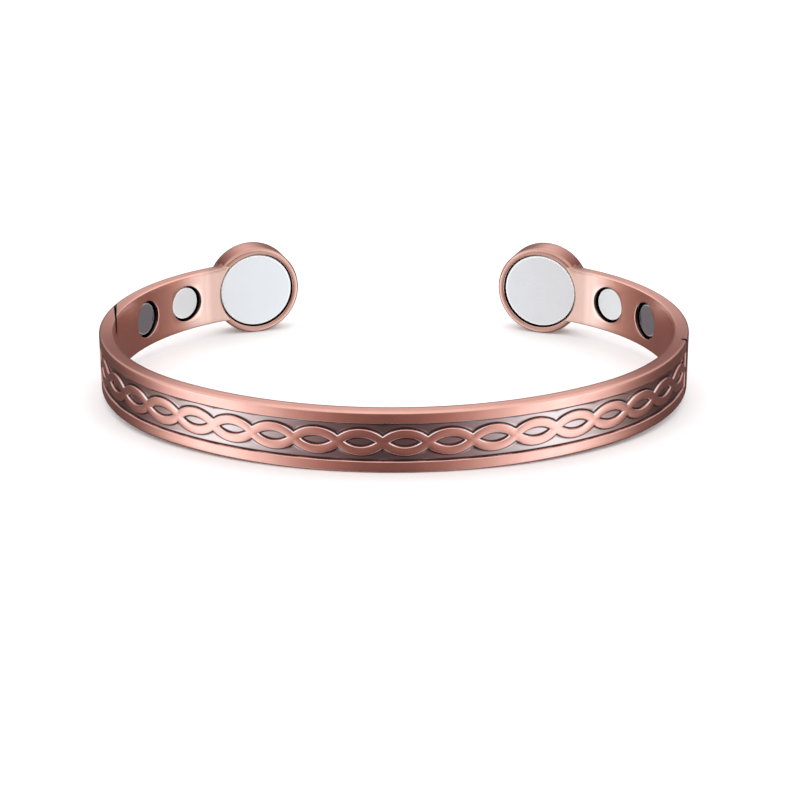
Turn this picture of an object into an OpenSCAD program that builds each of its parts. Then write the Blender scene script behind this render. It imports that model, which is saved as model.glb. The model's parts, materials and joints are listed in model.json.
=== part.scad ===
// Open cuff bracelet in antique copper. A raised border of two crossing strands runs along the
// front, each end carries a large magnet in a round cup, and two small magnets are let into the
// inner face of each side.
// The band is worked out level, with its front towards -Y and its opening towards +Y. The whole
// cuff is then laid down, so that it stands on its front lower edge and on its two cups.
// Places along the band are lengths on its outer face from the middle of the front, positive to
// the right and negative to the left.

/* [Band] */
// Height of the band, from edge to edge
band_h = 6.8; // [6:0.1:9]
// Thickness of the band
band_t = 1.6; // [1.4:0.05:2]
// Radius of the rounded outer edges
outer_edge_r = 0.3; // [0.1:0.05:0.5]
// Radius of the rounded inner edges
inner_edge_r = 0.15; // [0.05:0.05:0.3]

/* [Bend] */
// Outer radius of the shallow front arc
front_r = 38.9; // [34:0.1:46]
// Turn of the front arc on each side of the middle, in degrees
front_deg = 37.4; // [30:0.1:42]
// Outer radius of the side arcs
side_r = 25.1; // [21:0.1:30]
// Turn of each side arc, in degrees
side_deg = 67.2; // [58:0.1:72]
// Outer radius of the arcs that lead to the cups
back_r = 23.8; // [20:0.1:28]
// Turn of each of those arcs as far as the middle of the cup, in degrees
back_deg = 54.6; // [46:0.1:58]

/* [Border] */
// Number of loops in the border
loop_count = 18; // [10:2:20]
// Length of one loop, from crossing to crossing
loop_len = 4.7; // [4:0.05:5]
// Height of one loop, over both its strands
loop_h = 3; // [2.6:0.05:3.4]
// Width of a strand
strand_w = 1; // [0.7:0.05:1.1]
// Distance of the border's middle from the middle of the front
border_shift = -0.5; // [-2:0.1:2]
// Height of the sunk ground that the border stands in
ground_h = 4.15; // [3.6:0.05:5]
// Depth of the sunk ground, which is also the height of the relief
ground_depth = 0.3; // [0.15:0.05:0.5]
// Length of the sunk ground past the border's last crossings
ground_end = 0.4; // [0.2:0.1:2]

/* [End magnets and cups] */
// Diameter of an end magnet
end_magnet_d = 9; // [8:0.1:11]
// Thickness of an end magnet
end_magnet_t = 2; // [1.6:0.1:3]
// Clearance round an end magnet
end_magnet_gap = 0.15; // [0.05:0.01:0.2]
// Depth of an end magnet's face below the rim of its cup
end_magnet_sink = 0.25; // [0.1:0.05:0.4]
// Wall of a cup, round the magnet
cup_wall = 0.75; // [0.6:0.05:1.2]
// Floor of a cup, behind the magnet
cup_floor = 1; // [0.8:0.05:1.5]
// Height of a cup's rim above the inner face of the band
cup_lip = 0.25; // [0.2:0.05:0.8]
// Radius of a cup's rounded rims
cup_edge_r = 0.3; // [0.1:0.05:0.4]

/* [Small magnets] */
// Diameter of a small magnet
small_magnet_d = 3.9; // [3:0.1:4.4]
// Thickness of a small magnet
small_magnet_t = 0.55; // [0.4:0.05:0.7]
// Clearance round a small magnet
small_magnet_gap = 0.25; // [0.05:0.05:0.3]
// Depth of a small magnet's face below the inner face of the band
small_magnet_sink = 0.35; // [0.1:0.05:0.4]
// Distance from the middle of a cup to the nearest small magnet
small_magnet_from_cup = 10.4; // [9.6:0.1:12]
// Distance from one small magnet to the next
small_magnet_step = 7.5; // [6:0.1:9]

/* [Slits] */
// Width of the left slit
left_slit_w = 0.2; // [0.1:0.05:0.3]
// Width of the right slit
right_slit_w = 0.4; // [0.2:0.05:0.5]
// Distance of the right slit past the end of the sunk ground
right_slit_past = 0.45; // [0.3:0.05:1]
// Depth of the right slit, in from the outer face
right_slit_depth = 0.65; // [0.3:0.05:0.9]
// Place of the left slit along the band
left_slit_place = -52.4; // [-56:0.1:-50]
// Slant of the left slit to the run of the band, in degrees
left_slit_deg = 18; // [16:1:40]
// Depth of the left slit, down from the top edge
left_slit_depth = 1.6; // [0.5:0.1:2]
// Metal left standing between the left slit and the outer face
left_slit_web = 0.4; // [0.3:0.05:0.6]

/* [Hidden] */
$fn = 96;
copper = [0.74, 0.47, 0.41];
steel = [0.82, 0.84, 0.86];
// Layer of glue between a magnet and the floor of its pocket
glue_t = 0.05;
// How far a cut runs on past the face that it opens
cut_past = 0.5;
// The side arcs are finer than the others by this much, and the others run on over their ends by
// the lap, so that the arcs fuse into one piece whatever their sizes
seam_step = 0.002;
seam_lap = 0.1;
// Straight pieces in each rounded edge
edge_steps = 4;
// Step of the coarse places of the arcs
fine_step = 0.01;

// Length of an arc
function arc_len(r, deg) = PI * r * deg / 180;
front_len = arc_len(front_r, front_deg);
side_len = arc_len(side_r, side_deg);
back_len = arc_len(back_r, back_deg);
// Place of the cups along the band
cup_place = front_len + side_len + back_len;

// Unit vector that points out of the band where it has turned by deg
function outwards(deg) = [sin(deg), -cos(deg)];
front_c = [0, front_r];
side_c = front_c + (front_r - side_r) * outwards(front_deg);
back_c = side_c + (side_r - back_r) * outwards(front_deg + side_deg);

// The three arcs of the right half, each with its centre, its outer radius, its turn and its
// place where it starts, its length, and how far it runs on over the next one at each end
ARC_C = 0;
ARC_R = 1;
ARC_DEG = 2;
ARC_START = 3;
ARC_LEN = 4;
ARC_LAPS = 5;
arcs = [
    [front_c, front_r, 0, 0, front_len, [0, seam_lap]],
    [side_c, side_r, front_deg, front_len, side_len, [0, 0]],
    [back_c, back_r, front_deg + side_deg, front_len + side_len, back_len, [seam_lap, 0]],
];

// The arc that holds a place on the right half, and the turn of the band there
function arc_at(place) = place < arcs[1][ARC_START] ? arcs[0]
    : place < arcs[2][ARC_START] ? arcs[1]
    : arcs[2];
function turn_in(arc, place) = arc[ARC_DEG] + (place - arc[ARC_START]) / arc[ARC_R] * 180 / PI;
function turn_at(place) = turn_in(arc_at(place), place);
function point_at(place) = arc_at(place)[ARC_C] + arc_at(place)[ARC_R] * outwards(turn_at(place));

// Puts a shape on the outer face: its X runs along the band, its Y points in, its Z points up
module on_band(place) {
    side = place < 0 ? -1 : 1;
    point = point_at(abs(place));
    translate([side * point[0], point[1], 0])
        rotate([0, 0, side * turn_at(abs(place))])
            children();
}

// Moves a shape in a coarse step and a fine one, so that its place keeps all its digits
module move_to(point) {
    coarse = [round(point[0] / fine_step) * fine_step, round(point[1] / fine_step) * fine_step];
    translate(coarse)
        translate(point - coarse)
            children();
}

// Sweeps a section along the right half, from the middle of the front to a place. The section
// is drawn with its X as the distance from the axis of the arc, whose outer radius is $outer_r,
// and finer by $finer
module sweep_to(place) {
    for (arc = arcs) {
        run = min(place - arc[ARC_START], arc[ARC_LEN] + arc[ARC_LAPS][1]);
        back = arc[ARC_LAPS][0];
        to_deg = 180 / PI / arc[ARC_R];
        $outer_r = arc[ARC_R];
        $finer = arc == arcs[1] ? seam_step : 0;
        if (run > 0)
            move_to(arc[ARC_C])
                rotate_extrude(angle = (run + back) * to_deg, start = arc[ARC_DEG] - 90 - back * to_deg,
                               $fn = 2 * $fn)
                    children();
    }
}

// Points of a rounded corner about the middle of its curve
function corner(x, y, r, from_deg) = [for (i = [0 : edge_steps])
    [x + r * cos(from_deg + 90 * i / edge_steps), y + r * sin(from_deg + 90 * i / edge_steps)]];

// Section of the band, with its four edges rounded
module band_section() {
    outer_x = $outer_r - $finer - outer_edge_r;
    inner_x = $outer_r - band_t + $finer + inner_edge_r;
    outer_y = band_h / 2 - $finer - outer_edge_r;
    inner_y = band_h / 2 - $finer - inner_edge_r;
    polygon(concat(
        corner(outer_x, outer_y, outer_edge_r, 0),
        corner(inner_x, inner_y, inner_edge_r, 90),
        corner(inner_x, -inner_y, inner_edge_r, 180),
        corner(outer_x, -outer_y, outer_edge_r, 270)));
}

// Section of the sunk ground, open past the outer face
module ground_section() {
    translate([$outer_r - ground_depth - $finer, -ground_h / 2 - $finer])
        square([ground_depth + cut_past + 2 * $finer, ground_h + 2 * $finer]);
}

// The border: two strands that cross at each end of a loop, each an arc through both crossings
border_len = loop_count * loop_len;
strand_rise = (loop_h - strand_w) / 2;
strand_r = (pow(loop_len / 2, 2) + pow(strand_rise, 2)) / (2 * strand_rise);
strand_c = strand_r - strand_rise;
ground_right = border_len / 2 + border_shift + ground_end;
ground_left = border_len / 2 - border_shift + ground_end;

// The lens between two arcs of one radius, as a prism that stands across the outer face
module lens(r) {
    reach = 2 * (ground_depth + 2 * cut_past);
    intersection() {
        translate([0, 0, strand_c])
            rotate([90, 0, 0])
                cylinder(r = r, h = reach, center = true);
        translate([0, 0, -strand_c])
            rotate([90, 0, 0])
                cylinder(r = r, h = reach, center = true);
    }
}

module loop() {
    difference() {
        lens(strand_r + strand_w / 2);
        lens(strand_r - strand_w / 2);
    }
}

// What is cut away so that the border stands in its ground
module border_cut() {
    difference() {
        union() {
            sweep_to(ground_right)
                ground_section();
            mirror([1, 0, 0])
                sweep_to(ground_left)
                    ground_section();
        }
        for (i = [0 : loop_count - 1])
            on_band(border_shift + (i + 0.5) * loop_len - border_len / 2)
                loop();
    }
}

// Sizes of a cup, whose axis points in from the outer face
pocket_r = end_magnet_d / 2 + end_magnet_gap;
pocket_depth = end_magnet_sink + end_magnet_t + glue_t;
cup_r = pocket_r + cup_wall;
cup_depth = pocket_depth + cup_floor;
cup_face = band_t + cup_lip;

// Turns a shape whose axis is Z so that the axis points in from the outer face
module facing_in() {
    rotate([-90, 0, 0])
        children();
}

module cup_body() {
    rim_x = cup_r - cup_edge_r;
    back_y = cup_face - cup_depth;
    rotate_extrude()
        polygon(concat(
            [[0, cup_face]],
            [[0, back_y]],
            corner(rim_x, back_y + cup_edge_r, cup_edge_r, 270),
            corner(rim_x, cup_face - cup_edge_r, cup_edge_r, 0)));
}

module cup_pocket() {
    translate([0, 0, cup_face - pocket_depth])
        cylinder(r = pocket_r, h = pocket_depth + cut_past);
}

module small_pocket() {
    depth = small_magnet_sink + small_magnet_t + glue_t;
    translate([0, 0, band_t - depth])
        cylinder(d = small_magnet_d + 2 * small_magnet_gap, h = depth + cut_past, $fn = 64);
}

// Place of a small magnet, counted from the front
function small_place(count) = cup_place - small_magnet_from_cup - (2 - count) * small_magnet_step;

module right_slit() {
    on_band(ground_right + right_slit_past)
        translate([-right_slit_w / 2, -cut_past, -band_h / 2 - cut_past])
            cube([right_slit_w, right_slit_depth + cut_past, band_h + 2 * cut_past]);
}

module left_slit() {
    from = (left_slit_web - band_t / 2) / sin(left_slit_deg);
    to = (band_t / 2 + cut_past) / sin(left_slit_deg);
    on_band(left_slit_place)
        translate([0, band_t / 2, band_h / 2 - left_slit_depth])
            rotate([0, 0, left_slit_deg])
                translate([from, -left_slit_w / 2, 0])
                    cube([to - from, left_slit_w, left_slit_depth + cut_past]);
}

// The cuff as it lies: the back is raised by the cups, which are taller than the band
cup_point = point_at(cup_place);
cup_turn = turn_at(cup_place);
cup_rest_y = cup_point[1] + (cup_face - cup_edge_r) * cos(cup_turn);
rest_deg = atan((cup_r - band_h / 2) / (cup_rest_y - outer_edge_r));
rest_z = band_h / 2 * cos(rest_deg) - outer_edge_r * sin(rest_deg);
// Middle of the cuff from front to back, as it lies. Its rearmost point is on a cup's back rim
front_y = -(band_h / 2 - outer_edge_r) * sin(rest_deg);
rim_y = -(cup_depth - cup_face - cup_edge_r) * cos(cup_turn) + (cup_r - cup_edge_r) * sin(cup_turn);
back_y = (cup_point[1] + rim_y) * cos(rest_deg) + cup_edge_r;
middle_y = (front_y + back_y) / 2;

module laid() {
    translate([0, -middle_y, rest_z])
        rotate([rest_deg, 0, 0])
            children();
}

module band() {
    color(copper)
        laid()
            difference() {
                union() {
                    for (side = [0, 1])
                        mirror([side, 0, 0])
                            sweep_to(cup_place)
                                band_section();
                    for (side = [-1, 1])
                        on_band(side * cup_place)
                            facing_in()
                                cup_body();
                }
                border_cut();
                right_slit();
                left_slit();
                for (side = [-1, 1]) {
                    on_band(side * cup_place)
                        facing_in()
                            cup_pocket();
                    for (count = [1, 2])
                        on_band(side * small_place(count))
                            facing_in()
                                small_pocket();
                }
            }
}

// A magnet: a plain disc whose face lies below the face that it is set into
module magnet(place, d, t, face, sink) {
    color(steel)
        laid()
            on_band(place)
                facing_in()
                    translate([0, 0, face - sink - t])
                        cylinder(d = d, h = t);
}

module end_magnet(side) {
    magnet(side * cup_place, end_magnet_d, end_magnet_t, cup_face, end_magnet_sink);
}

module small_magnet(side, count) {
    magnet(side * small_place(count), small_magnet_d, small_magnet_t, band_t, small_magnet_sink);
}

band();
end_magnet(-1);  // end_magnet_left
end_magnet(1);  // end_magnet_right
small_magnet(-1, 1);  // small_magnet_left_1
small_magnet(-1, 2);  // small_magnet_left_2
small_magnet(1, 1);  // small_magnet_right_1
small_magnet(1, 2);  // small_magnet_right_2
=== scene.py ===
# %% [markdown]
# # A magnetic cuff bracelet in antique copper
#
# The real bracelet is one casting in copper: an open oval band whose front carries a raised border
# of two crossing strands, with a round cup at each end. Flat disc magnets are glued into the cups
# and into four small pockets in the inner face.
#
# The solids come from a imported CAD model, which gives every size and place. This script lays a
# finer skin over them. Each piece is a surface that numpy works out on a grid, so a reader can
# change one number and see the shape follow.

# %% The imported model
import json

import bpy
import numpy as np
from mathutils import Matrix

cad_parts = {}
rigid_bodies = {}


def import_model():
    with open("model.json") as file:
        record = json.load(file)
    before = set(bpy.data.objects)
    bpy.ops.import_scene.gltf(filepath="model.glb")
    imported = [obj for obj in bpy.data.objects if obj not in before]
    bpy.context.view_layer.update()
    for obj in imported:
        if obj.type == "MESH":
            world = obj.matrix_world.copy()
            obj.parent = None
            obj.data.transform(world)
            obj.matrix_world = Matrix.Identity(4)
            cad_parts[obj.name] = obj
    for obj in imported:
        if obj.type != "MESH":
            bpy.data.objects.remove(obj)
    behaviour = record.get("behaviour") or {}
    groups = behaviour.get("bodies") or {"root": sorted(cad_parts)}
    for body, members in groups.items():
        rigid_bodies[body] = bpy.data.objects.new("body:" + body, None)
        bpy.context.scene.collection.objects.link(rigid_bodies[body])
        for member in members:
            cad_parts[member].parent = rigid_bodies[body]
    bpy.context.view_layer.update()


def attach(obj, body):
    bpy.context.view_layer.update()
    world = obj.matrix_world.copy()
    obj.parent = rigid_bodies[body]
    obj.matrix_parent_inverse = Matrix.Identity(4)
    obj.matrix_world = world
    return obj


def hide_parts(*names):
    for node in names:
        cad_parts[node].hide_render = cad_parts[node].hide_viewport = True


for left_over in list(bpy.data.objects):
    bpy.data.objects.remove(left_over)
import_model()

# %% [markdown]
# ## The line of the cuff
#
# A cuff is bent from a straight strip or cast on a bent pattern, and its line is a few arcs that
# run smoothly into each other. So one number, the place along the outer face, is enough to say
# where a thing is. The middle of the front is place 0, the right half is positive and the left half
# is its mirror image. A maker thinks the same way: mark the straight strip first, then bend it.

# %% Arcs, and points from their place on the band
RADII = np.array([38.9, 25.1, 23.8])
TURNS = np.radians([37.4, 67.2, 54.6])
BAND_H = 6.8
BAND_T = 1.6


def outwards(turn):
    """Unit vectors that point out of the band where it has turned by an angle: (sine, -cosine)."""
    return np.stack([np.sin(turn), -np.cos(turn)], axis=-1)


arc_turn = np.cumsum([0, *TURNS[:2]])
arc_place = np.cumsum([0, *(RADII * TURNS)[:2]])
arc_centre = np.array([[0, RADII[0]]]) + np.vstack([
    [0, 0], np.cumsum((RADII[:2] - RADII[1:])[:, None] * outwards(arc_turn[1:]), axis=0)])
CUP_PLACE = float((RADII * TURNS).sum())


def arc_of(place):
    """Side (-1 or 1), arc number and turn of each place: turn = start of the arc + run / radius."""
    run = np.abs(place)
    arc = np.searchsorted(arc_place, run, side="right") - 1
    return np.where(place < 0, -1, 1), arc, arc_turn[arc] + (run - arc_place[arc]) / RADII[arc]


def band_points(place, inward, up):
    """Points of the bent band: centre of the arc + (radius - inward) x the outward direction."""
    place, inward, up = np.broadcast_arrays(place, inward, up)
    side, arc, turn = arc_of(place)
    flat = arc_centre[arc] + (RADII[arc] - inward)[..., None] * outwards(turn)
    return np.stack([side * flat[..., 0], flat[..., 1], up], axis=-1)


def plane_points(place, along, inward, up):
    """Points measured from the flat plane that touches the outer face at one place: along the
    band, in through it, and up. Drilled and turned features are laid out like this."""
    along, inward, up = np.broadcast_arrays(along, inward, up)
    side, arc, turn = arc_of(np.float64(place))
    out = outwards(turn)
    run = np.array([-out[1], out[0]])
    flat = arc_centre[arc] + RADII[arc] * out + (side * along)[..., None] * run - inward[..., None] * out
    return np.stack([side * flat[..., 0], flat[..., 1], up], axis=-1)


print("the cups are", round(CUP_PLACE, 2), "mm from the middle of the front, measured on the band")

# %% [markdown]
# ## How the cuff lies
#
# The cups are taller than the band, so a cuff that is put down leans forward by a couple of degrees:
# it stands on the lower edge of its front and on both cups. The same turn and shift are applied to
# every point here, which puts the skin exactly on the solids.

# %% Lean of the resting cuff
OUTER_EDGE, INNER_EDGE = 0.3, 0.15
POCKET_R, POCKET_DEPTH = 4.65, 2.3
CUP_R, CUP_FACE, CUP_DEPTH, CUP_EDGE = 5.4, 1.85, 3.3, 0.3

cup_middle = plane_points(CUP_PLACE, 0.0, 0.0, 0.0)
cup_turn = float(arc_of(np.float64(CUP_PLACE))[2])
rest_y = cup_middle[1] + (CUP_FACE - CUP_EDGE) * np.cos(cup_turn)
lean = np.arctan((CUP_R - BAND_H / 2) / (rest_y - OUTER_EDGE))
rest_z = BAND_H / 2 * np.cos(lean) - OUTER_EDGE * np.sin(lean)
rim_y = (-(CUP_DEPTH - CUP_FACE - CUP_EDGE) * np.cos(cup_turn)
         + (CUP_R - CUP_EDGE) * np.sin(cup_turn))
middle_y = ((cup_middle[1] + rim_y) * np.cos(lean) + CUP_EDGE
            - (BAND_H / 2 - OUTER_EDGE) * np.sin(lean)) / 2
LEAN = np.array([[1, 0, 0], [0, np.cos(lean), -np.sin(lean)], [0, np.sin(lean), np.cos(lean)]])


def laid(points):
    """Points of the level cuff, in mm, turned about X by the lean, set down, and put in metres."""
    return (points @ LEAN.T + [0, -middle_y, rest_z]) * 0.001


print("the cuff leans by", round(float(np.degrees(lean)), 2), "degrees")

# %% [markdown]
# ## From a grid to a piece
#
# Every surface below ends as a table of points and a table of faces. The band also stores four
# things at each point for its finish: where the point is on the straightened band, how far it is
# from the wall of the relief, whether that wall looks up or down, and whether the point is on a worn
# edge. A finish that reads these follows the metal round every bend.

# %% Meshes from tables
def build(name, points, faces, marks=None):
    """A mesh piece from points in mm and faces, smooth shaded, with values stored at its points."""
    mesh = bpy.data.meshes.new(name)
    mesh.from_pydata(laid(points).tolist(), [], faces)
    mesh.polygons.foreach_set("use_smooth", np.ones(len(mesh.polygons), bool))
    for key, values in (marks or {}).items():
        vector = values.ndim == 2
        store = mesh.attributes.new(key, "FLOAT_VECTOR" if vector else "FLOAT", "POINT")
        store.data.foreach_set("vector" if vector else "value", values.astype(np.float32).ravel())
    mesh.update()
    piece = bpy.data.objects.new(name, mesh)
    bpy.context.scene.collection.objects.link(piece)
    print(name, "has", sum(len(f) - 2 for f in faces), "triangles")
    return piece


def ring_faces(rings):
    """Quads between rows of indices that close on themselves, each row joined to the next."""
    a, b = rings[:-1], rings[1:]
    return np.stack([a, np.roll(a, -1, 1), np.roll(b, -1, 1), b], axis=-1).reshape(-1, 4).tolist()


def turned(radius, inward, place, segments):
    """A turned shape round the axis of a cup or pocket: a profile of radius and depth, carried
    round the axis. Points are (radius cos a, depth, radius sin a), and both poles are one point."""
    a = np.linspace(0, 2 * np.pi, segments, endpoint=False)
    r, d = radius[1:-1, None], inward[1:-1, None]
    rings = plane_points(place, r * np.cos(a), d + 0 * a, r * np.sin(a)).reshape(-1, 3)
    poles = plane_points(place, np.zeros(2), inward[[0, -1]], np.zeros(2))
    index = np.arange(len(rings)).reshape(-1, segments)
    first, last = len(rings), len(rings) + 1
    faces = ring_faces(index)
    faces += [[first, j, i] for i, j in zip(index[0], np.roll(index[0], -1))]
    faces += [[last, i, j] for i, j in zip(index[-1], np.roll(index[-1], -1))]
    return np.vstack([rings, poles]), faces


def for_rings(values, segments):
    """One value for each point of a turned shape's profile, given to all points made from it."""
    return np.append(np.repeat(values[1:-1], segments), values[[0, -1]])


def rounded(corner, radius, start, turn, steps=4):
    """Points on a quarter of a circle or less about a corner's centre, as columns across, depth."""
    a = np.radians(start + np.linspace(0, turn, steps + 1))
    return np.stack([corner[0] + radius * np.cos(a), corner[1] + radius * np.sin(a)], axis=-1)


print("a quarter of a rounded edge:", rounded((0, 0), OUTER_EDGE, 180, -90).round(2).tolist())

# %% [markdown]
# ## The relief of the border
#
# The border is cast with the band: a sunk ground, two plain rims, and two strands that swing from
# crossing to crossing. Each strand is part of a ring, so its edge is found from one distance: the
# distance from the point to the ring's middle line, taken from half the strand's width. That
# distance is positive on the strand and negative on the ground. Height is a soft step of it,
# because a casting has no sharp corners, with a low crown across the strand.

# %% Height of the relief
LOOPS, LOOP, SHIFT = 18, 4.7, -0.5
STRAND_W, STRAND_R, STRAND_C = 1.0, 3.26125, 2.26125
GROUND_H, GROUND_DEPTH = 4.15, 0.3
GROUND_ENDS = (-43.2, 42.2)
CROWN = 0.05
WALL_FOOT, WALL_RUN = 0.05, 0.13
WALL_REACH = 0.6  # the mark of plain metal, as far from a wall as is measured


def cell(place):
    """Distance along the band from the middle of the nearest loop."""
    run = np.abs(place - SHIFT)
    x = np.abs((place - SHIFT) % LOOP - LOOP / 2)
    return np.where(run > LOOPS * LOOP / 2, run - (LOOPS - 1) * LOOP / 2, x)


def relief(place, up):
    """Depth below the outer face and distance from the wall, for points of the front."""
    on_strand = STRAND_W / 2 - np.abs(np.hypot(cell(place), np.abs(up) + STRAND_C) - STRAND_R)
    on_rim = np.abs(up) - GROUND_H / 2
    past_end = np.maximum(place - GROUND_ENDS[1], GROUND_ENDS[0] - place)

    def soft_step(distance):
        """0 at the foot of the wall, 1 at its top, level at both: 3 t^2 - 2 t^3."""
        t = np.clip((distance + WALL_FOOT) / WALL_RUN, 0, 1)
        return t * t * (3 - 2 * t)

    crown = CROWN * (1 - np.clip(on_strand / (STRAND_W / 2), 0, 1)) ** 2
    rise = soft_step(on_strand)
    depth = np.minimum(GROUND_DEPTH * (1 - rise) + rise * crown,
                       GROUND_DEPTH * (1 - soft_step(np.maximum(on_rim, past_end))))
    from_wall = np.maximum(on_strand, np.maximum(on_rim, past_end))
    return depth, np.clip(from_wall, -WALL_REACH, WALL_REACH)


print("depth in an eye, on a strand and on a rim:",
      relief(np.array(SHIFT + LOOP / 2), np.array([0.0, STRAND_R - STRAND_C, 3.0]))[0].round(3))

# %% [markdown]
# ## Rows and columns that follow the strands
#
# A plain even grid would cut the slanting edges of the strands into steps. So the rows across the
# front ride on lines of equal distance from the strand's edge: they spread where an eye is open and
# close up where two strands meet. The columns are set where those lines run into each other. Past
# the border the rows relax to an even spacing. Subdividing a plain grid until the steps vanish would
# need many times the faces.

# %% Rows across the outer face
EDGE_LINES = np.array([-0.05, -0.01, 0.03, 0.08, 0.14, 0.3])
ROW_STEP = 0.02


def strand_rows(x):
    """Heights of the rows from the band's middle to its rim, for columns at x in their loop:
    height = root((ring radius -/+ half width +/- distance)^2 - x^2) - ring centre."""
    x = x[:, None]
    ring = np.concatenate([STRAND_R - STRAND_W / 2 + EDGE_LINES, [STRAND_R],
                           STRAND_R + STRAND_W / 2 - EDGE_LINES[::-1]])
    lines = np.sqrt(np.maximum(ring ** 2 - x ** 2, 0)) - STRAND_C
    rows = np.hstack([0 * x, lines[:, :1] / 2, lines])
    floor = ROW_STEP * np.arange(rows.shape[1])
    rows = np.maximum.accumulate(rows - floor, axis=1) + floor
    foot = GROUND_H / 2 + EDGE_LINES[0]
    ground = rows[:, -1:] + (foot - rows[:, -1:]) * np.array([[0.33, 0.67]])
    rim = GROUND_H / 2 + np.array([*EDGE_LINES[:5], 0.35, 0.7, 1.025])
    return np.hstack([rows, ground, np.repeat(rim[None], len(x), axis=0)])


def half_loop():
    """Columns from the middle of a loop to its crossing, with one where each line closes."""
    tips = np.sqrt((STRAND_R - STRAND_W / 2 + EDGE_LINES) ** 2 - STRAND_C ** 2)
    return np.concatenate([[0, 0.2, 0.4, 0.6, 0.8, 1.0, 1.15, 1.3, 1.4], tips, [LOOP / 2]])


half = half_loop()
loop = np.concatenate([-half[:0:-1], half[:-1]])
middles = SHIFT + (np.arange(LOOPS) - (LOOPS - 1) / 2) * LOOP
border = np.append((middles[:, None] + loop).ravel(), middles[-1] + LOOP / 2)
print(len(border), "columns along the border,", strand_rows(half).shape[1], "rows from middle to rim")

# %% [markdown]
# The rest of the columns: the wall at each end of the ground, the two fine slits, an even run along
# each side, and a tight group round each small pocket. The slit on the right is square to the band.
# The one on the left runs at a slant through the band's thickness, so its columns are sheared.

# %% Columns along the band
SMALL_PLACES = (59.611, 67.111)
BLOCK = 2.75
RIGHT_SLIT, RIGHT_SLIT_W, RIGHT_SLIT_DEPTH = 42.65, 0.4, 0.65
LEFT_SLIT, LEFT_SLIT_W, LEFT_SLIT_DEPTH, LEFT_SLIT_WEB = -52.4, 0.2, 1.6, 0.4
LEFT_SLIT_TURN = np.radians(18)
RIGHT_LIP, LEFT_LIP, LIP_EDGE, HAIR = 0.06, 0.15, 0.1, 0.01
BACK_R = RADII[2]
INNER_R = BACK_R - BAND_T
block = BLOCK * np.tan(np.linspace(-np.pi / 4, np.pi / 4, 17))


def slit(place, width, lip):
    """Columns beside a slit, at its lips and, a hair further in, at the sides of its floor."""
    half = width / 2 + np.array([lip + LIP_EDGE, lip, 0, -HAIR])
    return place + np.append(-half, half[::-1])


def side_columns(start):
    """Columns from the end of the ornament to the last straight one before the cup."""
    first, last = SMALL_PLACES
    return np.concatenate([
        np.arange(start, first - BLOCK - 0.5, 0.9), first + BACK_R / INNER_R * block,
        [(first + last) / 2], last + BACK_R / INNER_R * block])


end_wall = np.concatenate([[-0.25, -0.15], EDGE_LINES[:5]])
even = side_columns(44.0)
right_slit = slit(RIGHT_SLIT, RIGHT_SLIT_W, RIGHT_LIP)
right = np.sort(np.concatenate([GROUND_ENDS[1] + end_wall, right_slit, [43.1, 43.5], even]))
left_w = LEFT_SLIT_W / np.sin(LEFT_SLIT_TURN)
left_slit = -slit(LEFT_SLIT, left_w, LEFT_LIP)[::-1]
clear_of_slit = even[np.abs(even + LEFT_SLIT) > 0.5]
left = np.sort(np.concatenate([-GROUND_ENDS[0] + end_wall, [43.6], left_slit, clear_of_slit]))
places = np.concatenate([-left[::-1], border, right])
print(len(places), "columns from neck to neck")

# %% [markdown]
# ## The band
#
# The section is walked once round: up the outer face, over the top edge, down the inner face and
# back under. Every column has the same number of rows, so the whole band is one grid that closes on
# itself. Near a cup the columns bend to the cup's outline, and the metal swells into a small fillet
# there, as it does in a casting.

# %% Section of the band, row by row
# Past the border the rows keep the spacing that they have there, and relax from it in 5 mm.
PAST_BORDER = LOOP / 2 + 0.4
RELAX_FROM, RELAX_RUN = 0.9, 5
x = np.minimum(cell(places), PAST_BORDER)
x[(places > GROUND_ENDS[1]) | (places < GROUND_ENDS[0])] = PAST_BORDER
rows = strand_rows(x)
past = np.maximum(places - GROUND_ENDS[1], GROUND_ENDS[0] - places)
relax = np.clip((past - RELAX_FROM) / RELAX_RUN, 0, 1)[:, None]
rows = rows * (1 - relax) + np.linspace(0, BAND_H / 2 - OUTER_EDGE, rows.shape[1]) * relax
outer_up = np.hstack([-rows[:, :0:-1], rows])
outer_in, outer_wall = relief(places[:, None], outer_up)

under, above = (relief(places[:, None], outer_up + step)[1] for step in (-HAIR, HAIR))
facing_up = np.clip((under - above) / (2 * HAIR), -1, 1)

H, T = BAND_H / 2, BAND_T
over = np.vstack([
    rounded((OUTER_EDGE, H - OUTER_EDGE), OUTER_EDGE, 180, -90)[1:],
    [[0.45, H], [0.66, H], [0.74, H], [1.1, H]],
    rounded((T - INNER_EDGE, H - INNER_EDGE), INNER_EDGE, 90, -90, 3)])
inner = np.stack([np.full(17, T), -block], axis=-1)
rest = np.vstack([over, inner, over[::-1] * [1, -1]])
# Both edges of the band are rubbed, the outer one most in the middle of its round.
worn = np.zeros(len(rest))
worn[[0, 2, len(over) - 3, len(over) - 2]] = 0.7, 0.7, 0.8, 0.8
worn[1] = 1
worn = np.maximum(worn, worn[::-1])

count = len(places)
grid_in = np.hstack([outer_in, np.tile(rest[:, 0], (count, 1))])
grid_up = np.hstack([outer_up, np.tile(rest[:, 1], (count, 1))])
grid_wall = np.hstack([outer_wall, np.full((count, len(rest)), WALL_REACH)])
grid_worn = np.hstack([np.zeros_like(outer_in), np.tile(worn, (count, 1))])
grid_place = np.repeat(places[:, None], grid_in.shape[1], axis=1)
outer_count = outer_up.shape[1]
print("the section has", grid_in.shape[1], "points")
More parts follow.
